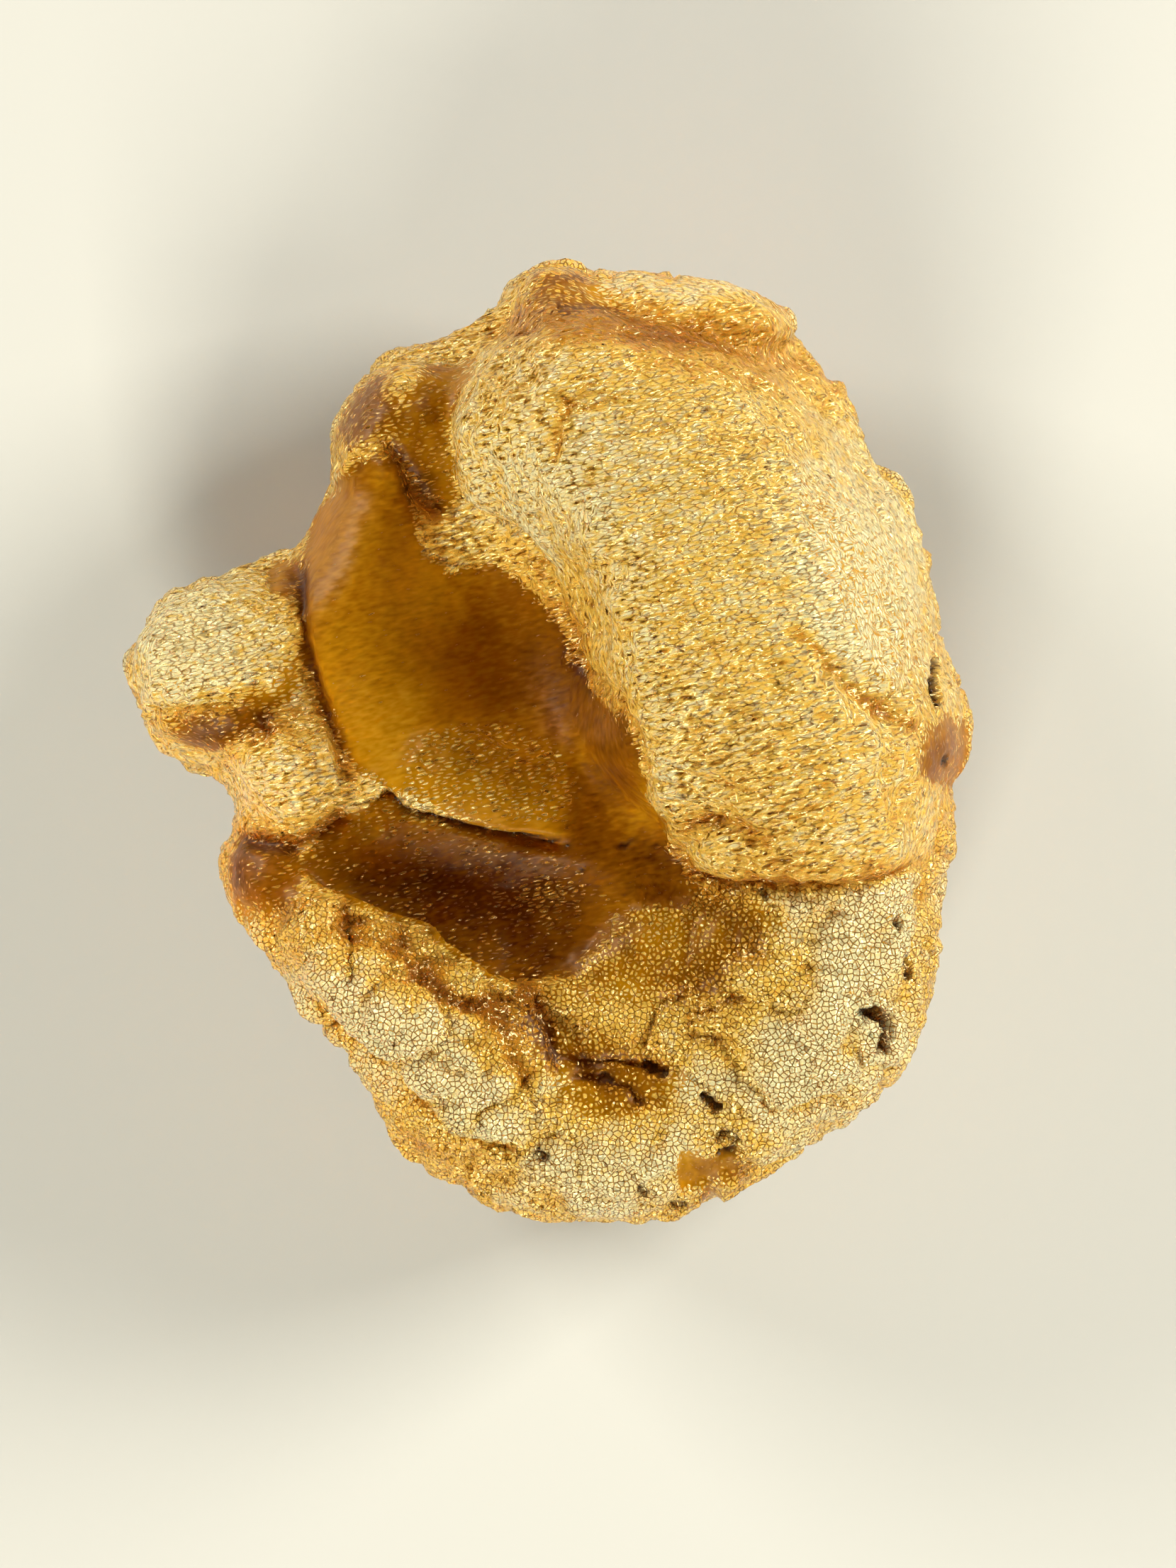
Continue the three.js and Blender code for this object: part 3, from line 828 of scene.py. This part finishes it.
def swung_vector(tree, vector, amount):
    """Turns a vector whose parts run from 0 to 1 into one that leans any way, by up to half the amount."""
    centred = node(tree, "ShaderNodeVectorMath", {0: vector, 1: (0.5, 0.5, 0.5)}, operation="SUBTRACT")
    scaled = node(tree, "ShaderNodeVectorMath", {0: centred.outputs[0], "Scale": amount}, operation="SCALE")
    return scaled.outputs[0]


print("material helpers ready")

# %% [markdown]
# The inside is plain. The resin bends light at 1.54 and soaks up blue first, so a thin edge is straw
# yellow and the thick middle is brown. Real copal is full of tiny flaws that scatter light, and they are
# left to the skin: part of its light isn't let through but thrown back in the skin's own colour.

# %% The resin's inside
RESIN_IOR = 1.54
RESIN_CLEARNESS = 0.72
ABSORBED = (0.84, 0.58, 0.03)  # red passes best, then green, and hardly any blue
ABSORPTION = 85.0

resin, resin_shader = new_material("copal_resin")
sap = resin.node_tree
fill(sap, resin_shader.inputs["IOR"], RESIN_IOR)
fill(sap, resin_shader.inputs["Transmission Weight"], RESIN_CLEARNESS)
inside = node(sap, "ShaderNodeVolumeAbsorption", {"Color": ABSORBED, "Density": ABSORPTION})
fill(sap, sap.nodes["Material Output"].inputs["Volume"], inside.outputs["Volume"])
print(f"resin passes {math.exp(-ABSORPTION * (1 - ABSORBED[0]) * 0.01):.2f} of red light through 10 mm")

# %% [markdown]
# The skin is a patchwork of cells. A cell's heart is frosted and its border is clear, stained and darkened
# with painted shade, as in a groove. A fine grain breaks the patchwork up, and where the frost attribute is
# low only single frosted flecks are left.

# %% Cells and grain of the skin
CELL = 0.31  # millimetres
GRAIN = 0.36
FROST_GAIN = 1.35  # this and the next four are parts of the sum that decides where frost is
FROST_OFFSET = -0.61
PATCH_SWING = 1.3
FLECK_SWING = 0.6
HEART_FROST = 1.6
FROST_EDGE = (0.3, 0.7)  # the sums at which frost begins and is full
BORDER_EDGE = (0.03, 0.17)
BROKEN_BORDERS = (0.3, 0.5, 0.2, 1)  # a border's strength rises from the third number to the fourth
TONE_BREAKS = -0.3
CRUST_MENDS = 0.15
WRINKLE_BORDERS = 0.8

tone_share = attribute(sap, "tone")
crust_share = attribute(sap, "crust")
frost_mark = attribute(sap, "frost")
cell_map = node(sap, "ShaderNodeUVMap", uv_map="cell_map").outputs["UV"]
edge = node(sap, "ShaderNodeTexVoronoi", {"Vector": cell_map, "Scale": 1 / CELL},
            feature="DISTANCE_TO_EDGE", voronoi_dimensions="2D").outputs["Distance"]
grain = noise_texture(sap, cell_map, GRAIN, 1.0, "2D").outputs["Color"]
grains = node(sap, "ShaderNodeSeparateColor", {"Color": grain}).outputs
patches = grains["Red"]
flecks = grains["Green"]

frost_share = added(sap, times(sap, frost_mark, FROST_GAIN), swing(sap, patches, PATCH_SWING),
                    swing(sap, flecks, FLECK_SWING), times(sap, edge, HEART_FROST), FROST_OFFSET)
frost_share = ramped(sap, frost_share, *FROST_EDGE)
unbroken = added(sap, flecks, times(sap, tone_share, TONE_BREAKS), times(sap, crust_share, CRUST_MENDS))
border_share = times(sap, ramped(sap, edge, *BORDER_EDGE, 1, 0), ramped(sap, unbroken, *BROKEN_BORDERS))
border_share = times(sap, border_share, ramped(sap, crust_share, 0, 1, WRINKLE_BORDERS, 1))
print(f"cells of {CELL} mm with a grain of {GRAIN} mm")

# %% [markdown]
# Two rows of colours follow the tone, from pale to dark: one for frosted skin and one for clear skin. The
# clear row has almost no blue in it, because light that comes out of resin has lost its blue.

# %% The resin's colour
FROST_COLOURS = [(1.0, 0.97, 0.56), (1.0, 0.66, 0.11), (0.6, 0.27, 0.02), (0.24, 0.075, 0.005)]
CLEAR_COLOURS = [(0.8, 0.45, 0.02), (0.55, 0.25, 0.002), (0.24, 0.085, 0), (0.05, 0.012, 0)]
BORDER_STAIN_AND_PAINTED_SHADE = (0.2, 0.085, 0.006)
# nearly black: bark in the pits, and painted shade in the crack
DIRT_AND_PAINTED_SHADE = (0.025, 0.014, 0.008)
PALE_FLECKS = 0.2
PALER_ALL_OVER = -0.1
MOTTLING = (0.9, 0.5)  # on wrinkled skin, and on the crust
CLEAR_SWING = 0.4
UNDER_FROST = 0.3


def four_colours(tree, share, colours):
    ramp = node(tree, "ShaderNodeValToRGB", {"Fac": share})
    bands = ramp.color_ramp.elements
    bands.new(1 / 3)
    bands.new(2 / 3)
    for band, colour in zip(bands, colours):
        band.color = (*colour, 1)
    return ramp.outputs["Color"]


mottling = times(sap, swing(sap, patches, 1), ramped(sap, crust_share, 0, 1, *MOTTLING))
frost_tone = added(sap, tone_share, mottling, swing(sap, frost_mark, PALE_FLECKS), PALER_ALL_OVER)
# cell borders get a dark brown that is partly stain and partly painted shade of a groove between cells
frosted = mixed_colour(sap, border_share, four_colours(sap, frost_tone, FROST_COLOURS), BORDER_STAIN_AND_PAINTED_SHADE)
clear_tone = added(sap, tone_share, swing(sap, patches, CLEAR_SWING), times(sap, frost_mark, UNDER_FROST))
skin_colour = mixed_colour(sap, frost_share, four_colours(sap, clear_tone, CLEAR_COLOURS), frosted)
# nearly black where the pits hold bark, and painted shade along the crack
skin_colour = mixed_colour(sap, attribute(sap, "dirt_and_painted_shade"), skin_colour, DIRT_AND_PAINTED_SHADE)
fill(sap, resin_shader.inputs["Base Color"], skin_colour)
print("colour follows frost, tone and dirt")

# %% [markdown]
# Frosted skin glitters, because each grain faces its own way. Here every grain leans the surface's
# normal, far on frost and hardly at all on clear skin. The glints are golden, and clear skin and cell
# borders get almost none, since a leaning surface would otherwise show the floor's grey in them.

# %% The resin's roughness and fine relief
CLEAR_ROUGHNESS = 0.4
FROST_ROUGHNESS = 0.25
GLINT = (1.0, 0.76, 0.34)
DULL_GLINT = (0.05, 0.02, 0.0)
LEAN = (0.3, 3.3)  # on clear skin, and on frost
CRUST_LEAN = 0.8

roughness = ramped(sap, frost_share, 0, 1, CLEAR_ROUGHNESS, FROST_ROUGHNESS)
shine_share = times(sap, frost_share, arithmetic(sap, "SUBTRACT", 1, border_share))
lean = times(sap, ramped(sap, frost_share, 0, 1, *LEAN), ramped(sap, crust_share, 0, 1, 1, CRUST_LEAN))
smooth_normal = node(sap, "ShaderNodeNewGeometry").outputs["Normal"]
swung = swung_vector(sap, grain, lean)
leaning = node(sap, "ShaderNodeVectorMath", {0: smooth_normal, 1: swung}, operation="ADD").outputs[0]
normal = node(sap, "ShaderNodeVectorMath", {0: leaning}, operation="NORMALIZE").outputs[0]
fill(sap, resin_shader.inputs["Roughness"], roughness)
fill(sap, resin_shader.inputs["Specular Tint"], mixed_colour(sap, shine_share, DULL_GLINT, GLINT))
fill(sap, resin_shader.inputs["Normal"], normal)
skin.data.materials.clear()
skin.data.materials.append(resin)
skin.data.shade_smooth()
print("roughness, glint and relief joined")

# %% [markdown]
# ## Bark crumbs and sealed specks
# The resin ran down a tree, so crumbs of bark are stuck in the pits and the crack, and a few specks are
# sealed under the clear skin. Bark is dull and nearly black, with a fine grain that also gives it its
# relief.

# %% Bark
BARK_DARK = (0.012, 0.007, 0.004)
BARK_PALE = (0.09, 0.045, 0.018)
BARK_ROUGHNESS = 0.85
BARK_GRAIN = 0.12  # millimetres
BARK_STRETCH = (1, 1, 3)
BARK_RELIEF = 0.04 * MM

bark, bark_shader = new_material("bark")
cork = bark.node_tree
in_millimetres = tuple(part / MM for part in BARK_STRETCH)
place = node(cork, "ShaderNodeTexCoord").outputs["Object"]
place = node(cork, "ShaderNodeMapping", {"Vector": place, "Scale": in_millimetres}).outputs["Vector"]
bark_grain = noise_texture(cork, place, BARK_GRAIN, 3.0, "3D").outputs["Fac"]
bark_bump = node(cork, "ShaderNodeBump", {"Height": bark_grain, "Distance": BARK_RELIEF})
fill(cork, bark_shader.inputs["Base Color"], mixed_colour(cork, bark_grain, BARK_DARK, BARK_PALE))
fill(cork, bark_shader.inputs["Roughness"], BARK_ROUGHNESS)
fill(cork, bark_shader.inputs["Normal"], bark_bump.outputs["Normal"])
print("bark made")

# %% [markdown]
# Crumbs and specks are the same thing, a small angular chip, repeated. Geometry nodes put one on each
# seat point, turned and sized at random from a fixed seed, push its corners about, and make it all one
# plain mesh.

# %% Chips by geometry nodes
CHIP_INPUTS = [
    ("Seats", "Geometry"), ("Smallest", "Float"), ("Largest", "Float"), ("Seed", "Int"), ("Bark", "Material"),
]
CHIP_SHAPE = {"X": 1.0, "Y": 0.7, "Z": 0.45}
DENT_SIZE = 0.15 * MM


def chip_tree():
    tree = bpy.data.node_groups.new("chips_on_points", "GeometryNodeTree")
    for name, kind in CHIP_INPUTS:
        tree.interface.new_socket(name, in_out="INPUT", socket_type=f"NodeSocket{kind}")
    tree.interface.new_socket("Chips", in_out="OUTPUT", socket_type="NodeSocketGeometry")
    given = node(tree, "NodeGroupInput").outputs
    chip = node(tree, "GeometryNodeMeshIcoSphere", {"Radius": 1.0}).outputs["Mesh"]
    full_turns = {"Max": (math.tau, math.tau, math.tau), "Seed": given["Seed"]}
    turn = node(tree, "FunctionNodeRandomValue", full_turns, data_type="FLOAT_VECTOR").outputs[0]
    sizes = {2: given["Smallest"], 3: given["Largest"], "Seed": given["Seed"]}
    size = node(tree, "FunctionNodeRandomValue", sizes, data_type="FLOAT").outputs[1]
    shape = node(tree, "ShaderNodeCombineXYZ", CHIP_SHAPE).outputs[0]
    scale = node(tree, "ShaderNodeVectorMath", {0: shape, "Scale": size}, operation="SCALE").outputs[0]
    seated = {"Points": given["Seats"], "Instance": chip, "Rotation": turn, "Scale": scale}
    chips = node(tree, "GeometryNodeInstanceOnPoints", seated).outputs[0]
    chips = node(tree, "GeometryNodeRealizeInstances", {0: chips}).outputs[0]
    dent = node(tree, "ShaderNodeTexNoise", {"Scale": 1 / DENT_SIZE}).outputs["Color"]
    push = swung_vector(tree, dent, given["Largest"])
    chips = node(tree, "GeometryNodeSetPosition", {"Geometry": chips, "Offset": push}).outputs[0]
    chips = node(tree, "GeometryNodeSetMaterial", {"Geometry": chips, "Material": given["Bark"]}).outputs[0]
    node(tree, "NodeGroupOutput", {"Chips": chips})
    return tree


CHIPS = chip_tree()


def chips_at(name, seats, smallest, largest, seed):
    seat_mesh = bpy.data.meshes.new(name)
    seat_mesh.from_pydata((seats * MM).tolist(), [], [])
    holder = placed(name, seat_mesh)
    scatter = holder.modifiers.new("chips", "NODES")
    scatter.node_group = CHIPS
    wanted = {"Smallest": smallest * MM, "Largest": largest * MM, "Seed": seed, "Bark": bark}
    for socket in CHIPS.interface.items_tree:
        if socket.name in wanted:
            scatter[socket.identifier] = wanted[socket.name]
    holder.data = evaluated_mesh(holder)
    holder.modifiers.clear()
    print(f"{name}: {len(seats)} chips, {len(holder.data.polygons)} faces")
    return holder


print(f"chip tree of {len(CHIPS.nodes)} nodes")

# %% [markdown]
# The crumbs sit where the pits and the crack are darkest. The specks are sunk a little way under the clear
# front, most of them anywhere and a few in given places.

# %% Seat the crumbs and the specks
CRUMBS = 150
SPECKS = 26
SPECK_SPOTS = [(-12.8, 11.8), (-13.5, 4.9), (0.2, -6.2), (1.9, -7.5), (2.2, -6.7), (-3.2, 6.1), (-7.9, 9)]
SPECK_DEPTHS = (0.1, 0.5)
OUT_OF_REACH = 100  # millimetres, added to points on the back
DIRTY_AND_SHADED = 0.7
CLEAR = 0.9
SEAT_SEED = 31

chance_of = np.random.default_rng(SEAT_SEED)
points = read_vectors("co") / MM
facings = read_vectors("normal")
dirty_and_shaded = np.flatnonzero(dirt_and_painted_shade > DIRTY_AND_SHADED)
crumb_seats = points[chance_of.choice(dirty_and_shaded, CRUMBS, replace=False)]
clear_front = np.flatnonzero((clear > CLEAR) & (front > CLEAR))
speck_points = list(chance_of.choice(clear_front, SPECKS, replace=False))
on_back = OUT_OF_REACH * (front < 0.5)
for x, y in SPECK_SPOTS:
    speck_points.append(np.hypot(points[:, 0] - x, points[:, 1] - y + on_back).argmin())
speck_depths = chance_of.uniform(*SPECK_DEPTHS, len(speck_points))
speck_seats = points[speck_points] - facings[speck_points] * speck_depths[:, None]
crumbs = chips_at("bark_crumbs", crumb_seats, smallest=0.07, largest=0.17, seed=5)
specks = chips_at("sealed_specks", speck_seats, smallest=0.05, largest=0.11, seed=9)
print(f"{len(dirty_and_shaded)} dirty points to choose from")

# %% [markdown]
# ## Hand the pieces to the frame
# All of the pieces ride on the frame's only body. The lump stands for the CAD node, which is hidden.

# %% Finish
for piece in (skin, crumbs, specks):
    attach(piece, "root")
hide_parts(NODE)
